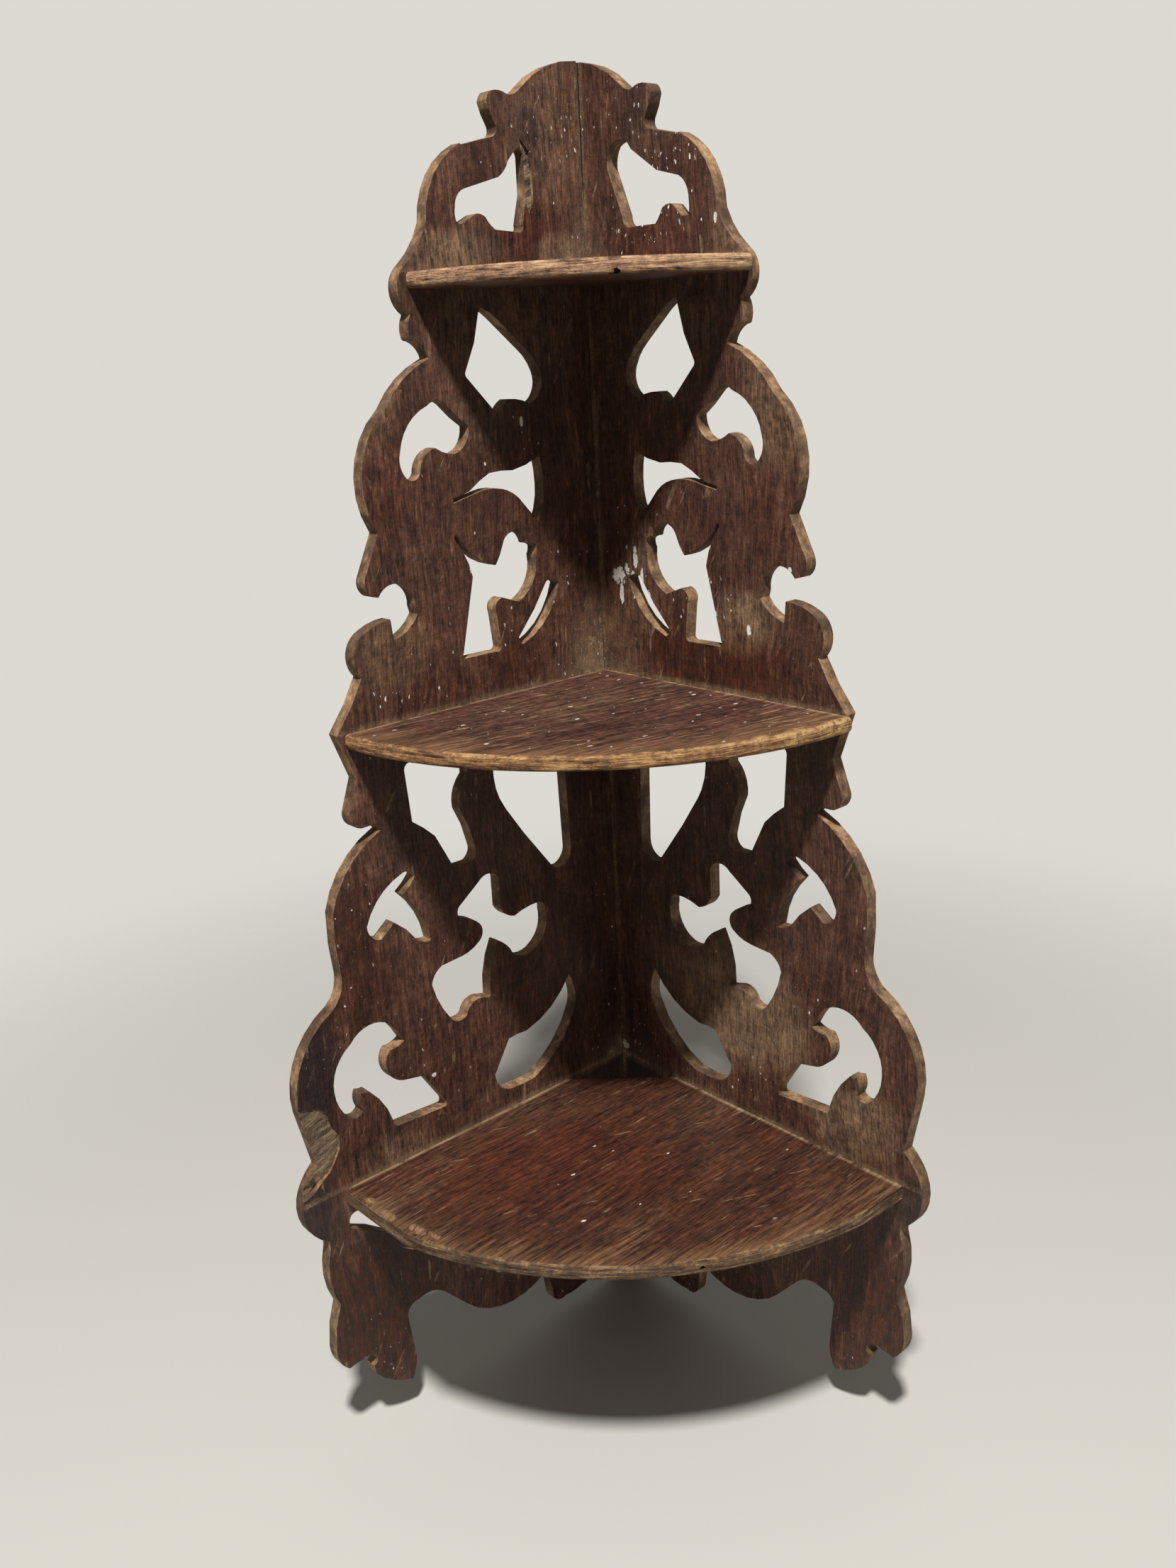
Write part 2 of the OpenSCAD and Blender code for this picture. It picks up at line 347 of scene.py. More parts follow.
def torn_out(board, spot, rows, rough):
    """Tears a piece out of a board's face. The rows go round the torn part with its depth at each corner."""
    outward = spot(0, 0, 0) - spot(0, 0, 1)
    piece = slab([spot(*row) for row in rows], outward*TEAR_STANDS_OUT)
    for face in piece.data.polygons:
        face.select = all(index < len(rows) for index in face.vertices)
    bpy.ops.object.mode_set(mode="EDIT")
    bpy.ops.mesh.quads_convert_to_tris()
    bpy.ops.mesh.subdivide(number_cuts=5)
    bpy.ops.object.mode_set(mode="OBJECT")
    for vertex in piece.data.vertices:
        if (vertex.co - spot(0, 0, 0)).dot(outward) < 0:
            vertex.co += outward*rough*(noise.noise(vertex.co*420) + 0.6*noise.noise(vertex.co*1100))
    carved(board, piece, "DIFFERENCE")


def recut_panel(board, spot, scroll):
    """Cuts the panel's crown scroll, the knob above it and the notch between the toes again to how this
    board's own were sawn."""
    sawn(board, spot, SCROLL_PATCH, "UNION")
    for rows in (scroll, KNOB_SIDE, TOE_NOTCH):
        sawn(board, spot, rows)
    merged(board)


def smoothed(board):
    """Smooth shading over the rounded edges, with the large faces kept flat."""
    bpy.ops.object.shade_smooth_by_angle(angle=SMOOTH_ANGLE)
    normals = board.modifiers.new("flat faces", "WEIGHTED_NORMAL")
    normals.keep_sharp = True
    bpy.ops.object.modifier_apply(modifier=normals.name)


def stained_panel(name, side, seed, hazy, ruddy, dark, darker_wood_and_shade, splashes, paint):
    """Old stained wood with upright grain. side is 0 for the panel across X and 1 for the one across Y. The
    rows say where the stain has gone dull, where it is still red, where it is almost black, where it is a
    shade darker, as darker wood in places and as painted shade in the seam under the middle shelf, where
    there are many flecks of white paint, and where there are larger ones."""
    wood = Finish(name)
    place = wood.shifted(wood.place(), (seed, seed, seed))
    x, y, z = wood.place().parts()
    out = (-BOARD - y) if side == 0 else x
    front = x if side == 0 else -y
    height = z - TOE_TIPS
    flat = abs(wood.facing().parts()[side])

    # Upright fibres that sway a little
    bent = wood.swayed(place, 5, (0.03, 0.03, 0))
    bands = wood.cloud(wood.stretched(bent, (1, 1, 0.08)), 50, 3, 0.6)
    fibres = wood.cloud(wood.stretched(bent, (1, 1, 0.09)), 330, 4, 0.8)
    hairs = wood.cloud(wood.stretched(bent, (1, 1, 0.12)), 900, 2, 0.7)
    mottle = wood.cloud(place, 60, 6, 0.75)
    specks = wood.cloud(place, 260, 4, 0.75)
    patches = wood.cloud(wood.stretched(place, (1, 1, 0.6)), 14, 5, 0.65)
    grain = bands*0.25 + fibres*0.3 + hairs*0.15 + mottle*0.3
    tone = wood.ramp(grain, (0.36, "33211a"), (0.46, "4a3126"), (0.54, "5b3f31"), (0.66, "7d5f4a"))

    ragged = (patches - 0.5)*3.2 + (mottle - 0.5)*1.8
    red = (ragged + 0.5).rise(0.1, 1.0)*0.4
    red = red.most(wood.spots(out, height, ragged, ruddy))
    tone = wood.mix(tone, wood.ramp(grain, (0.38, "2e150e"), (0.5, "4f281b"), (0.64, "70402c")), red*0.7)
    dull = (ragged*-1 - 0.15).rise(0.0, 0.9)*0.4
    dull = dull.most(wood.spots(out, height, ragged, hazy))
    dull = (dull*((fibres*0.7 + hairs*0.5 + mottle*0.4).rise(0.6, 0.98)*0.6 + 0.3)).least(1)
    tone = wood.mix(tone, wood.ramp(mottle, (0.3, "6f5642"), (0.7, "987c5e")), dull*0.85)
    black = wood.cloud(wood.stretched(place, (1, 1, 0.3)), 42, 4, 0.75).rise(0.58, 0.70)*0.55
    black = black.most(wood.spots(out, height, ragged*0.4, dark, 0.5))
    tone = wood.mix(tone, wood.ramp(mottle, (0.3, "1a1113"), (0.7, "332426")), black*0.85)
    depth = (fibres - 0.5)*1.2 + (hairs - 0.5)*1.6 + (specks - 0.5)*1.9 + (mottle - 0.5)*0.8 + 1
    tone = wood.shaded(tone, depth.most(0.35))
    # A brown multiply over the rows that darken the wood; the rows in the seam under the middle shelf are
    # painted shade
    tone = wood.mix(tone, colour("ae8040"), wood.spots(out, height, ragged*0.6, darker_wood_and_shade), "MULTIPLY")

    # Pale scratches, most of them upright
    upright = wood.cloud(wood.stretched(place, (1, 1, 0.12)), 260, 1, 0.5).rise(0.69, 0.74)
    slanting = (28, 0, 0) if side == 0 else (0, -28, 0)
    across = wood.cloud(wood.stretched(place, (1, 1, 0.1), slanting), 300, 1, 0.5).rise(0.71, 0.75)
    scratch = (upright.most(across)*mottle.rise(0.44, 0.58)).least(1)
    tone = wood.mix(tone, colour("9b8263"), scratch*0.5)

    # Dust lies in the corner above each shelf and along its joint with the panel, on the room's side only. The
    # panels carry painted shade below the bottom shelf's cut-off inner corner
    seam = out - BOARD*side
    room_side = front.rise(BOARD*0.4, BOARD*0.6)
    dusty = seam.rise(0.005, 0.002)*(patches*0.8 + fibres*0.6).rise(0.5, 0.8)*(0.2 + 0.6*side)
    for level, spread in zip(SHELF_TOPS, DUST_REACHES):
        up = height - level
        corner = (up + out*1.1 + ragged*0.012).rise(spread, 0.012)*up.rise(-0.002, 0)
        joint = up.rise(-0.001, 0)*(up + ragged*0.001).rise(0.004, 0.0005)*0.7
        dusty = dusty.most((corner*(1 - 0.4*side)).most(joint))
    dusty = dusty*room_side
    # Painted shade: near-black laid on the panels below the bottom shelf's cut-off inner corner
    gap_shade = height - SHELF_TOPS[2]
    gap_shade = (gap_shade + out*0.03).rise(-0.0005, -0.004)*gap_shade.rise(-0.045, -0.03)*out.rise(0.052, 0.036)
    tone = wood.mix(tone, colour("1b0e0a"), gap_shade*0.8)
    threads = abs(wood.cloud(place, 75, 2, 0.5, 1.2) - 0.5).rise(0.012, 0.003)
    tone = wood.mix(tone, wood.ramp(mottle, (0.3, "5f4938"), (0.7, "947a5c")),
                    dusty*(mottle*0.7 + fibres*0.6).rise(0.38, 0.8)*0.9)
    tone = wood.mix(tone, colour("b39c7c"), dusty*threads*0.5)

    # The sawn edges lost their stain and show raw wood, brown with dirt in places and dark at the arris. The
    # sawn side of the crown's knob carries painted shade in the same dark tone
    sawn = flat.rise(0.8, 0.35)
    arris = flat.rise(0.995, 0.93)*mottle.rise(0.40, 0.55)
    tone = wood.mix(tone, colour("241610"), arris*0.65)
    raw = wood.ramp(fibres*0.3 + specks*0.3 + mottle*0.4, (0.36, "47301f"), (0.48, "87664a"), (0.60, "ba986d"))
    grime_and_knob_shade = wood.cloud(place, 34, 4, 0.7).rise(0.40, 0.60)
    # Painted shade on the sawn side of the crown's knob, laid on with the grime's dark tone
    grime_and_knob_shade = grime_and_knob_shade.most(wood.spots(out, height, ragged*0.2, KNOB_SIDE_SHADE, 0.4))
    dirt_and_shade_tone = wood.ramp(mottle, (0.3, "25170f"), (0.7, "57402f"))
    tone = wood.mix(tone, wood.mix(raw, dirt_and_shade_tone, grime_and_knob_shade*0.8), sawn*0.94)

    # Where the face is torn below its level, the wood is bare and rough
    torn = front.rise(BOARD - 0.00025, BOARD - 0.0005)*front.rise(0.0003, 0.001)*flat.rise(0.5, 0.75)
    strands = wood.cloud(wood.stretched(place, (1, 0.12, 0.6), (-20, 0, 0)), 480, 4, 0.75)
    bare = wood.ramp(strands*0.8 + specks*0.2, (0.36, "34271d"), (0.48, "6b5643"), (0.62, "a08b6f"))
    tone = wood.mix(tone, bare, torn)

    # Flecks of white paint, thickest over the areas that the rows name
    splashed = wood.spots(out, height, ragged, splashes).most(0.1) + (patches - 0.5)*0.7
    ragged_out = out + (specks - 0.5)*0.003
    drips = wood.scattered(ragged_out + height*0.15, height*0.35, 290, 0.12, 0.45)*splashed.rise(0.25, 0.55)
    drops = wood.scattered(ragged_out + 0.5, height*0.6 + (specks - 0.5)*0.003, 190, 0.08, 0.65)
    flecks = drips.most(drops*splashed.rise(0.12, 0.2))*flat
    flecks = (flecks*1.3).most(wood.spots(out, height, (specks - 0.5)*5 + (mottle - 0.5)*2, paint, 0.15)*flat)
    flecks = flecks.least(1)*room_side
    tone = wood.mix(tone, wood.ramp(mottle, (0.3, "c9bfae"), (0.5, "f3eee4")), flecks*0.96)

    # The crack where the panels' edges meet has opened at the top
    crack = abs(out - BOARD*1.05 + (wood.cloud(place, 60, 2) - 0.5)*0.002).rise(0.0007, 0.0002)
    crack = crack*(height + mottle*0.03).rise(0.665, 0.69)*side
    tone = wood.mix(tone, colour("120b08"), crack)

    wood.feed(wood.shader.inputs["Base Color"], tone)
    rough = (dull*0.12 + dusty*0.2 + sawn*0.2 + torn*0.2 + fibres*0.25 + 0.40).least(0.95)
    wood.feed(wood.shader.inputs["Roughness"], rough)
    relief = fibres*0.5 + hairs*0.4 + specks*0.6 + mottle*0.5 + flecks*0.3 + torn*strands*1.5 - crack*0.8
    relief = relief - scratch*0.2
    bump = wood.node("ShaderNodeBump", {}, {"Strength": 0.75, "Distance": 0.001, "Height": relief})
    wood.feed(wood.shader.inputs["Normal"], bump)
    wood.shader.inputs["Specular IOR Level"].default_value = 0.4
    return wood.material


def on_left_panel(across, up, deep):
    return Vector((BOARD - deep/1000, -BOARD - across/1000, TOE_TIPS + up/1000))


left_panel = whole_copy("left_fret_panel", "left_panel_board")
recut_panel(left_panel, on_left_panel, [
    (42, 682, 0.5), (50, 675, -1), (57, 667, 0), (79, 661, 2), (86, 652, 0.5), (86, 646, 1), (82, 645, 0),
    (76, 648, -1.5), (67, 648, 0.5), (61, 642, 0), (46, 641, 1.5), (43, 645, 0), (39, 660, 0), (39, 676, 1)])
worn_edges(left_panel, PANEL_EDGE_WEAR, 0)
clean_faces(left_panel, 0)
# The broken outer edge beside the bottom shelf, with a splintered hollow below it, and a strip torn off along
# the crown's cut-out
torn_out(left_panel, on_left_panel, (
    (246, 208, 2.4), (232, 205, 1.2), (223, 202, 0.9), (217, 196, 1.2), (215.5, 188, 1.5), (211, 181, 1.5),
    (212, 172, 1.3), (215.5, 166, 1.4), (220, 160, 1.5), (227, 162, 1.6), (246, 166, 2.6)), 0.35)
torn_out(left_panel, on_left_panel, (
    (218, 162, 0.8), (226, 156, 3.0), (231, 152, 3.8), (238, 150, 1.8), (236, 158, 3.0), (227, 164, 1.6)), 0.5)
torn_out(left_panel, on_left_panel, (
    (42, 686, 0.8), (41, 672, 1.2), (41, 658, 1.0), (38, 650, 0.5), (35, 656, 1.3), (34.5, 668, 1.7),
    (36, 680, 1.6)), 0.25)
smoothed(left_panel)
left_panel.data.materials.append(stained_panel(
    "left_panel_stained_wood", 0, 3.1,
    hazy=((60, 590, 50, 30, 0.4), (24, 690, 26, 34, 0.35), (95, 632, 34, 10, 1), (20, 632, 14, 8, 0.7),
          (70, 560, 26, 30, 0.3), (146, 436, 24, 22, 0.5), (150, 560, 16, 26, 0.5), (178, 150, 30, 16, 0.5)),
    ruddy=((42, 645, 22, 26, 1), (10, 690, 10, 24, 0.5), (140, 520, 26, 34, 0.7), (60, 418, 34, 16, 1),
           (120, 412, 40, 12, 0.8), (120, 250, 40, 40, 0.5), (200, 14, 26, 20, 0.8), (195, 66, 34, 40, 0.45)),
    dark=((222, 222, 20, 30, 1), (233, 140, 12, 22, 0.9), (72, 635, 14, 8, 0.35), (36, 690, 8, 12, 0.6)),
    # The last shade row is painted shade in the seam under the middle shelf
    darker_wood_and_shade=((200, 56, 50, 70, 0.9), (210, 160, 26, 30, 0.3),
           (195, 275, 30, 50, 0.6), (20, 362, 30, 46, 0.9)),
    splashes=((20, 690, 26, 40, 0.35), (150, 412, 16, 8, 0.7)),
    paint=((146, 190, 1.8, 1.2, 1), (60, 690, 1.5, 2, 1), (92, 474, 2, 4, 0.6), (52, 546, 1.2, 2.4, 1))))
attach(left_panel, "root")
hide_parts("left_fret_panel")

# ---- Right fretwork panel ----
# The left panel's twin, cut from the same pattern. It reaches behind the left panel's seam edge, so the seam
# nails go through its back.


def on_right_panel(across, up, deep):
    return Vector((across/1000, -BOARD + deep/1000, TOE_TIPS + up/1000))


right_panel = whole_copy("right_fret_panel", "right_panel_board")
recut_panel(right_panel, on_right_panel, [
    (31, 681, 1.5), (43, 682, 0), (46, 678, -0.5), (64, 666, 0), (79, 662, 1.5), (86, 652, 0.3), (86, 643, 0),
    (81, 643, 0), (75, 649, -1), (67, 648, 0.5), (62, 641, 0), (43, 641, 1.5), (38, 647, 0), (28, 671, 1)])
worn_edges(right_panel, PANEL_EDGE_WEAR, 5)
clean_faces(right_panel, 1)
smoothed(right_panel)
right_panel.data.materials.append(stained_panel(
    "right_panel_stained_wood", 1, 7.4,
    hazy=((110, 212, 56, 44, 2), (60, 590, 50, 30, 0.3), (190, 172, 34, 26, 1.1), (142, 560, 26, 40, 0.7),
          (116, 440, 22, 16, 1), (30, 442, 20, 30, 0.5), (60, 690, 24, 20, 0.3), (70, 180, 30, 20, 0.5),
          (112, 650, 16, 44, 0.5), (44, 474, 12, 14, 0.7)),
    ruddy=((90, 418, 64, 20, 1), (62, 634, 34, 18, 0.8), (140, 510, 24, 40, 0.7), (70, 500, 30, 60, 0.5),
           (215, 20, 30, 26, 0.8), (205, 66, 34, 44, 0.9)),
    dark=((224, 200, 12, 30, 0.1), (232, 134, 10, 20, 0.6), (45, 700, 14, 20, 0.4), (200, 232, 10, 10, 0.5)),
    # The last shade row is painted shade in the seam under the middle shelf
    darker_wood_and_shade=((205, 56, 50, 70, 0.6), (90, 416, 70, 18, 0.5), (34, 700, 14, 20, 0.2),
           (24, 430, 22, 26, 0.4), (20, 362, 26, 46, 0.4)),
    splashes=((74, 684, 34, 26, 1), (34, 655, 12, 36, 0.25), (60, 640, 40, 12, 0.4), (34, 470, 26, 50, 0.3),
              (90, 450, 20, 16, 0.6)),
    paint=((24, 457, 5, 4.6, 1), (26, 447, 1.4, 6, 1), (31, 461, 2, 3.4, 1), (36, 458, 1.6, 2.4, 1),
           (38, 468, 1.8, 6, 1), (43, 457, 1.2, 6, 1), (48, 446, 1.2, 4, 0.9), (50, 474, 2, 6, 0.8),
           (95, 690, 3, 1.6, 1), (88, 682, 1, 2, 1), (118, 662, 1, 4, 0.8), (104, 640, 1, 3, 0.9),
           (60, 655, 1, 2, 1), (150, 470, 1.2, 1.6, 1), (122, 436, 1.6, 3, 1), (12, 153, 2.4, 3, 0.5))))
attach(right_panel, "root")
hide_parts("right_fret_panel")

# ---- Shelves ----
# Three quarter-round boards of the same stock, with their grain along Y. Their fronts are worn round and pale,
# and their tops are scratched.

SHELF_EDGE_WEAR = 0.0006


def stained_shelf(name, radius, seed, turn, stain_tones, raw_tones, worn_depth, wear, marks, ruddy, splinters,
                  hollow_shade):
    """Old stained wood for a shelf of this radius, with its grain at turn degrees to Y. raw_tones are its
    front's tones, worn_depth is how far in from the front the stain has worn, wear is how much of it, and
    marks is how strongly the top is scratched and spotted. The rows say where the stain is still red, where
    pale wood shows under torn splinters, and where painted shade darkens the hollows dented into the front."""
    wood = Finish(name)
    place = wood.shifted(wood.place(), (seed, seed, seed))
    x, y, _ = wood.place().parts()
    along = x - BOARD
    deep = -BOARD - y
    reach = (along*along + deep*deep).math("SQRT")
    up = wood.facing().parts()[2]
    flat = abs(up)

    bent = wood.swayed(place, 6, (0.02, 0, 0))
    bands = wood.cloud(wood.stretched(bent, (1, 0.09, 1), (0, 0, turn)), 60, 3, 0.6)
    fibres = wood.cloud(wood.stretched(bent, (1, 0.06, 1), (0, 0, turn)), 400, 4, 0.8)
    hairs = wood.cloud(wood.stretched(bent, (1, 0.08, 1), (0, 0, turn)), 1000, 2, 0.7)
    layers = wood.cloud(wood.stretched(bent, (0.08, 0.04, 1), (0, 0, turn)), 620, 4, 0.75)
    mottle = wood.cloud(place, 60, 6, 0.75)
    specks = wood.cloud(place, 260, 4, 0.75)
    patches = wood.cloud(wood.stretched(place, (1, 0.5, 1)), 14, 5, 0.65)
    grain = bands*0.2 + fibres*0.35 + hairs*0.25 + mottle*0.2
    tone = wood.ramp(grain, *zip((0.36, 0.46, 0.54, 0.66), stain_tones))
    ragged = (patches - 0.5)*3.2 + (mottle - 0.5)*1.8
    red = (ragged - 0.1).rise(0.1, 1.0).most(wood.spots(along, deep, ragged, ruddy))
    tone = wood.mix(tone, wood.ramp(grain, (0.38, "30120b"), (0.64, "68301f")), red*0.65)
    dull = (ragged*-1 + 0.1).rise(0.0, 1.0)*(fibres*0.6 + hairs*0.4 + bands*0.3).rise(0.45, 0.85)
    tone = wood.mix(tone, wood.ramp(grain, (0.36, "49392b"), (0.64, "7d6449")), dull*0.6)
    depth = ((fibres - 0.5)*1.9 + (hairs - 0.5)*2.2 + (specks - 0.5)*1.9)*marks + (mottle - 0.5)*0.5 + 1
    tone = wood.shaded(tone, depth.most(0.35))

    # Pale scratches with the grain, some across it, and a front worn back towards bare wood
    scratch = wood.cloud(wood.stretched(bent, (1, 0.1, 1), (0, 0, turn + 2)), 300, 2, 0.5).rise(0.66, 0.72)
    across = wood.cloud(wood.stretched(place, (1, 0.1, 1), (0, 0, turn + 24)), 300, 1, 0.5).rise(0.71, 0.74)
    scratch = scratch.most(across)*mottle.rise(0.42, 0.57)
    tone = wood.mix(tone, colour("a3876a"), (scratch*0.5*marks).least(1))
    worn = (reach + (fibres*0.7 + bands*0.3 - 0.5)*0.10 - ragged*0.01).rise(radius - worn_depth, radius + 0.005)
    tone = wood.mix(tone, wood.ramp(grain, (0.38, "573923"), (0.62, "9c754b")), worn*wear)
    joint = (along.least(deep) + ragged*0.001).rise(0.0035, 0.001)*mottle.rise(0.34, 0.52)
    tone = wood.mix(tone, wood.ramp(fibres, (0.36, "6b543f"), (0.62, "a98d6a")), joint*0.85)

    # The front is bare, with its layers split and dirty, and the stain is rubbed off along its upper arris
    edge = reach.rise(radius - 0.014, radius - 0.003)
    rim = flat.rise(0.99, 0.75)*edge
    raw = wood.ramp(layers*0.5 + hairs*0.1 + specks*0.2 + mottle*0.2, *zip((0.40, 0.47, 0.53, 0.60), raw_tones))
    tone = wood.mix(tone, raw, rim*0.95)
    rubbed = flat.rise(0.999, 0.97)*flat.rise(0.55, 0.85)*up.rise(0, 0.5)*edge
    tone = wood.mix(tone, colour(raw_tones[3]), rubbed*mottle.rise(0.46, 0.6)*0.6)
    cut = flat.rise(0.9, 0.4)*(1 - edge)
    tone = wood.mix(tone, wood.ramp(layers, (0.35, "4a3526"), (0.6, "8b6d50")), cut)
    split = layers.rise(0.41, 0.36)*rim
    tone = wood.mix(tone, colour("23160e"), split*0.7)
    ragged_splits = (fibres - 0.5)*9 + (specks - 0.5)*5
    tone = wood.mix(tone, wood.ramp(specks, (0.35, raw_tones[1]), (0.6, raw_tones[3])),
                    wood.spots(along, deep, ragged_splits, splinters, 0.25))
    # Painted shade: the hollows dented into the front are darkened in colour, as if shaded inside
    inside = reach.rise(radius - 0.0007, radius - 0.0014)*reach.rise(radius - 0.006, radius - 0.004)
    tone = wood.mix(tone, colour("140b07"), wood.spots(along, deep, 0, hollow_shade, 0.3)*inside*flat.rise(0.98, 0.8))

    flecks = wood.scattered(along + (specks - 0.5)*0.003, deep*0.5, 85*marks, 0.05*marks, 1 - 0.22*marks)
    flecks = flecks*(patches*marks).rise(0.48, 0.56)*flat.rise(0.9, 0.99)
    tone = wood.mix(tone, colour("ddd3c4"), flecks*0.9)

    wood.feed(wood.shader.inputs["Base Color"], tone)
    rough = (dull*0.15 + worn*0.15 + rim*0.2 + fibres*0.25 + 0.36).least(0.95)
    wood.feed(wood.shader.inputs["Roughness"], rough)
    relief = fibres*0.6 + hairs*0.3 + specks*0.4 + mottle*0.4 + flecks*0.3 + rim*layers*1.8 - scratch*0.2
    bump = wood.node("ShaderNodeBump", {}, {"Strength": 0.75, "Distance": 0.001, "Height": relief})
    wood.feed(wood.shader.inputs["Normal"], bump)
    wood.shader.inputs["Specular IOR Level"].default_value = 0.4
    return wood.material


def rough_front(shelf, radius, seed):
    """Sets the shelf's round front back a little along the wood's layers, and more where it has chipped."""
    for face in shelf.data.polygons:
        reach = math.hypot(face.center.x - BOARD, face.center.y + BOARD)
        face.select = reach > radius - 0.003 and abs(face.normal.z) < 0.999
    bpy.ops.object.mode_set(mode="EDIT")
    bpy.ops.mesh.select_mode(type="FACE")
    bpy.ops.mesh.subdivide(number_cuts=5)
    bpy.ops.object.mode_set(mode="OBJECT")
    for vertex in shelf.data.vertices:
        along, deep = vertex.co.x - BOARD, -BOARD - vertex.co.y
        reach = math.hypot(along, deep)
        if reach > radius - 0.003:
            round_it = radius*math.atan2(deep, along)
            layer = noise.noise(Vector((round_it*30, vertex.co.z*450, seed)))
            fibre = noise.noise(Vector((round_it*130, vertex.co.z*1300, seed)))
            chip = noise.noise(Vector((round_it*80, vertex.co.z*260, seed + 5)))
            back = 0.0002*(1 + layer) + 0.0001*(1 + fibre) + 0.0016*max(0, chip - 0.35)
            vertex.co.x = BOARD + along*(reach - back)/reach
            vertex.co.y = -BOARD - deep*(reach - back)/reach


def dented(shelf, place, half_sizes, seed):
    """Takes a rough hollow of about these half sizes out of the shelf."""
    bpy.ops.object.select_all(action="DESELECT")
    bpy.ops.mesh.primitive_ico_sphere_add(subdivisions=3, radius=1, location=(0, 0, 0))
    hollow = bpy.context.object
    for vertex in hollow.data.vertices:
        lumpy = 1 + 0.35*noise.noise(vertex.co*1.7 + Vector((seed, 0, 0)))
        vertex.co = place + Vector(half*side*lumpy for half, side in zip(half_sizes, vertex.co))
    carved(shelf, hollow, "DIFFERENCE")


def splintered(shelf, rows):
    """Adds thin slivers that lift off the shelf. Each row is a sliver's middle in millimetres along, deep and
    up, its length, its heading from X and its slope in degrees."""
    for along, deep, up, length, heading, slope in rows:
        bpy.ops.object.select_all(action="DESELECT")
        bpy.ops.mesh.primitive_cone_add(vertices=5, radius1=0.0005, radius2=0.00005, depth=length/1000,
                                        location=(0, 0, 0))
        sliver = bpy.context.object
        way = Vector((math.cos(math.radians(heading)), -math.sin(math.radians(heading)),
                      math.tan(math.radians(slope)))).normalized()
        turn = way.to_track_quat("Z", "X")
        for vertex in sliver.data.vertices:
            thin = Vector((vertex.co.x*0.6, vertex.co.y*1.3, vertex.co.z))
            vertex.co = turn @ thin + Vector((BOARD + along/1000, -BOARD - deep/1000, up/1000))
        shelf.select_set(True)
        bpy.context.view_layer.objects.active = shelf
        bpy.ops.object.join()


for (node, radius, seed, turn, stain_tones, raw_tones, worn_depth, wear, marks, ruddy, splinters, hollow_shade, dents,
     slivers) in (
        ("top_shelf", 0.120, 1.7, 4, ("3c2118", "4c2e22", "5a3a2b", "74543d"),
         ("4a3122", "87644b", "b08a68", "d2ad83"), 0.03, 0.6, 1,
         (), ((60, 98, 3, 2, 0.5),), ((97, 70, 3.4, 3.4, 1),), ((97.7, 69.7, 638.6, 2.0, 2.0, 2.3),), ()),
        ("middle_shelf", 0.182, 5.3, 9, ("341d17", "432820", "503328", "69493a"),
         ("332014", "6f4b30", "a07447", "cba36c"), 0.035, 0.5, 1.6,
         (), ((181, 12, 3, 12, 1), (176, 36, 3, 8, 0.8), (171, 57, 3, 5, 0.7)), (), (), ()),
        ("bottom_shelf", 0.221, 9.2, 0, ("2b150e", "3a2015", "492a1c", "613f2d"),
         ("241810", "4b3524", "6c5239", "a6855d"), 0.02, 0.45, 1,
         ((60, 120, 40, 50, 1), (100, 90, 30, 30, 0.7), (40, 170, 30, 24, 0.5)),
         ((20, 208, 4, 2, 0.9), (38, 209, 6, 2.4, 0.8), (59, 205, 5, 2.4, 1), (70, 202, 4, 1.6, 0.8)),
         ((185, 121, 3, 3, 1),), ((185.0, 121.0, 165.8, 1.8, 1.8, 1.3),),
         ((20, 210, 170.2, 7, 30, 8), (57, 205, 170.6, 8, 55, 10), (62, 204, 170.4, 6, 25, 6),
          (61, 212.8, 163.5, 7, 155, -4), (40, 210, 170.3, 5, 60, 12)))):
    shelf = whole_copy(node, node + "_board")
    worn_edges(shelf, SHELF_EDGE_WEAR, seed)
    rough_front(shelf, radius, seed)
    for along, deep, up, *half_sizes in dents:
        dented(shelf, Vector((BOARD + along/1000, -BOARD - deep/1000, up/1000)),
               [half/1000 for half in half_sizes], seed)
    splintered(shelf, slivers)
    smoothed(shelf)
    shelf.data.materials.append(stained_shelf(
        node + "_stained_wood", radius, seed, turn, stain_tones, raw_tones, worn_depth, wear, marks, ruddy,
        splinters, hollow_shade))
    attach(shelf, "root")
    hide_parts(node)

# ---- Nails ----
# Thin steel nails with small round heads, driven through the panels' backs and gone brown with rust.

steel = Finish("rusty_nail_steel")
spots = steel.cloud(steel.place(), 900, 4, 0.6)
rust = steel.ramp(spots, (0.35, "2b2522"), (0.55, "4f4540"), (0.68, "6e3f26"))
steel.feed(steel.shader.inputs["Base Color"], rust)
steel.feed(steel.shader.inputs["Metallic"], spots.rise(0.65, 0.45))
steel.feed(steel.shader.inputs["Roughness"], spots*0.5 + 0.3)
for node in ("seam_nails_group", "top_shelf_nails", "middle_shelf_nails", "bottom_shelf_nails"):
    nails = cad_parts[node]
    nails.data.materials.clear()
    nails.data.materials.append(steel.material)

# ---- Floor, lamps and camera ----
# A plain pale floor that fades into a pale background, one soft lamp high at the right, and even light around.

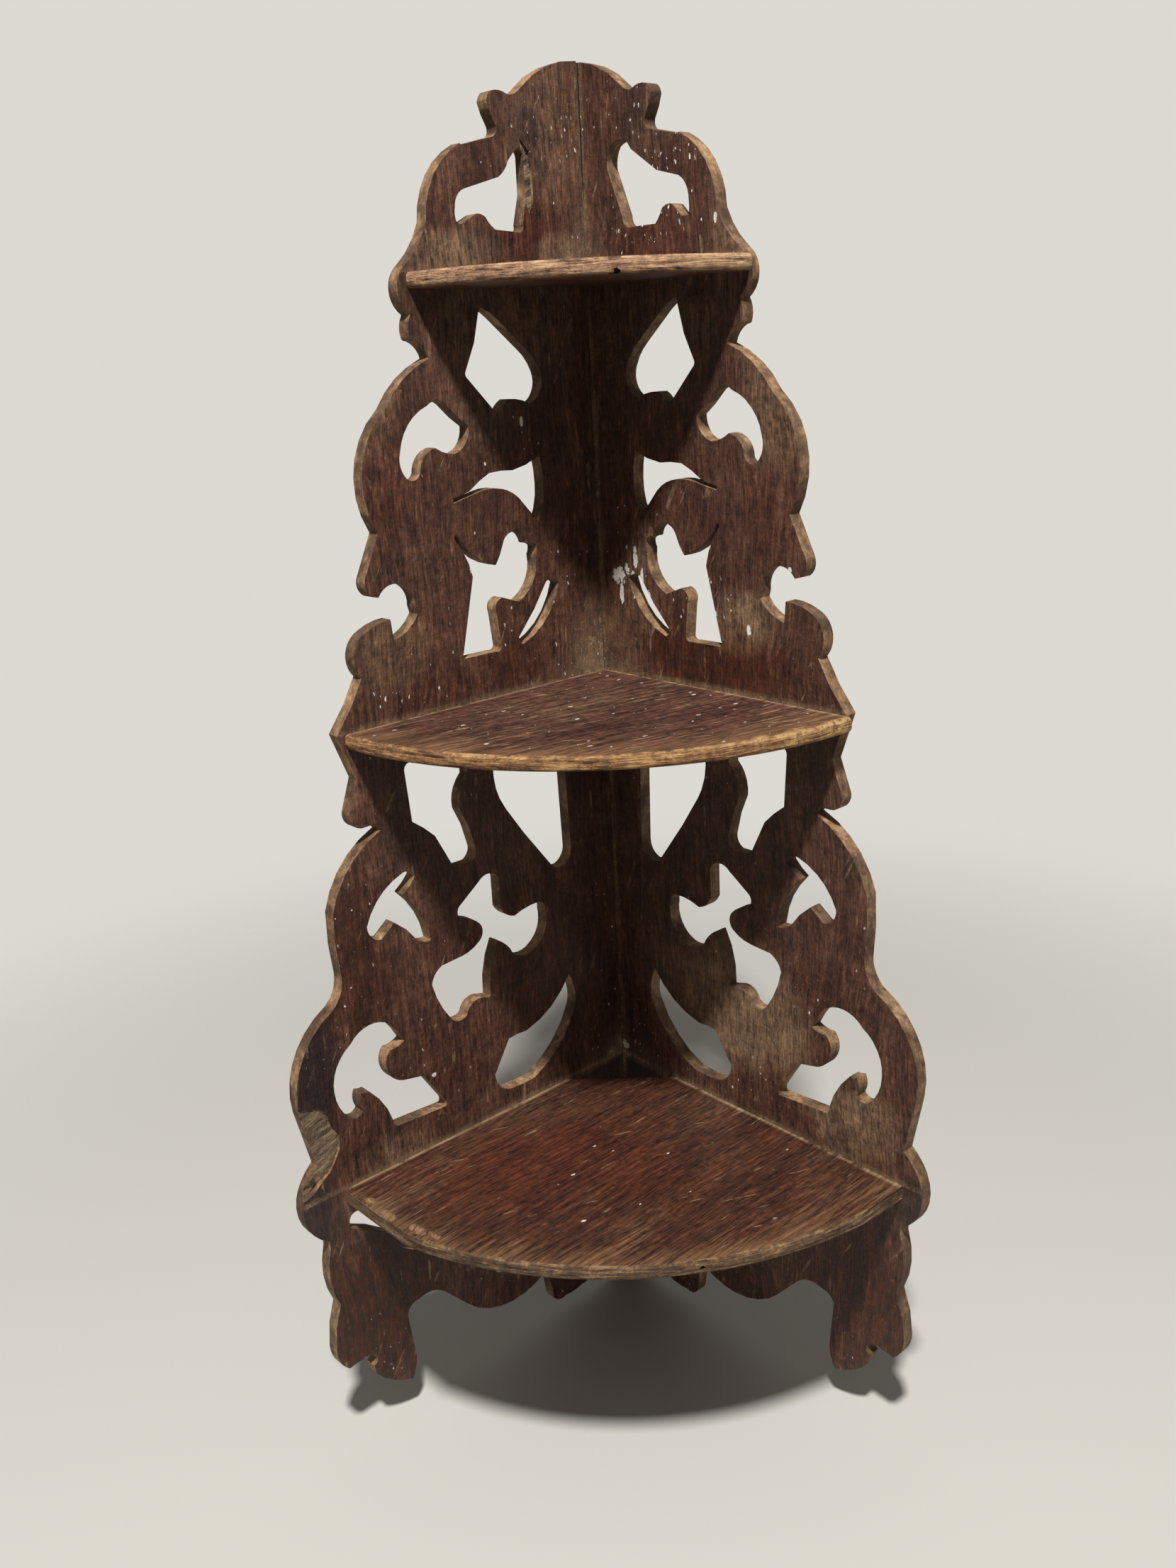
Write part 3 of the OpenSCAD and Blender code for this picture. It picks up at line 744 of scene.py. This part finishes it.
bpy.ops.object.select_all(action="DESELECT")
bpy.ops.mesh.primitive_circle_add(vertices=96, radius=4, fill_type="NGON", location=(0, 0, 0))
floor = bpy.context.object
floor.name = "floor"
pale = Finish("pale_floor")
pale.feed(pale.shader.inputs["Base Color"], colour("c6c3bb"))
pale.feed(pale.shader.inputs["Roughness"], 0.9)
gone = pale.node("ShaderNodeBsdfTransparent", {}, {})
away = pale.node("ShaderNodeVectorMath", {"operation": "LENGTH"}, {0: pale.place()}, "Value")
blend = pale.node("ShaderNodeMixShader", {},
                  {0: away.rise(0.35, 1.0), 1: Value(pale, pale.shader.outputs[0]), 2: gone})
pale.feed(pale.tree.nodes["Material Output"].inputs["Surface"], blend)
floor.data.materials.append(pale.material)

# The even light is weak, and what the camera sees behind the floor is paler
world = bpy.data.worlds.new("even_light")
world.use_nodes = True
bpy.context.scene.world = world
tree = world.node_tree
lit = tree.nodes["Background"]
lit.inputs["Color"].default_value = (1, 0.97, 0.93, 1)
lit.inputs["Strength"].default_value = 0.2
seen = tree.nodes.new("ShaderNodeBackground")
seen.inputs["Color"].default_value = colour("dcdad3")
path = tree.nodes.new("ShaderNodeLightPath")
joined = tree.nodes.new("ShaderNodeMixShader")
tree.links.new(path.outputs["Is Camera Ray"], joined.inputs[0])
tree.links.new(lit.outputs[0], joined.inputs[1])
tree.links.new(seen.outputs[0], joined.inputs[2])
tree.links.new(joined.outputs[0], tree.nodes["World Output"].inputs["Surface"])

LAMP_AIM = Vector((0.10, -0.10, 0.37))
LAMP_WAY = Vector((0.356, -0.351, 0.866))
LAMP_AWAY = 2.6
bpy.ops.object.light_add(type="AREA", location=LAMP_AIM + LAMP_AWAY*LAMP_WAY)
lamp = bpy.context.object
lamp.name = "key_lamp"
lamp.rotation_euler = LAMP_WAY.to_track_quat("Z", "Y").to_euler()
lamp.data.shape = "DISK"
lamp.data.size = 0.22
lamp.data.energy = 100

# The photograph's view of the shelf, worked out for an upright shelf
bpy.ops.object.camera_add(location=(0.5995, -0.5473, 0.6065),
                          rotation=(math.radians(72.40), math.radians(2.82), math.radians(47.70)))
camera = bpy.context.object
camera.data.sensor_fit = "HORIZONTAL"
camera.data.sensor_width = 36
camera.data.lens = 42.2
camera.data.clip_start = 0.01
bpy.context.scene.camera = camera
bpy.context.scene.view_settings.view_transform = "Standard"
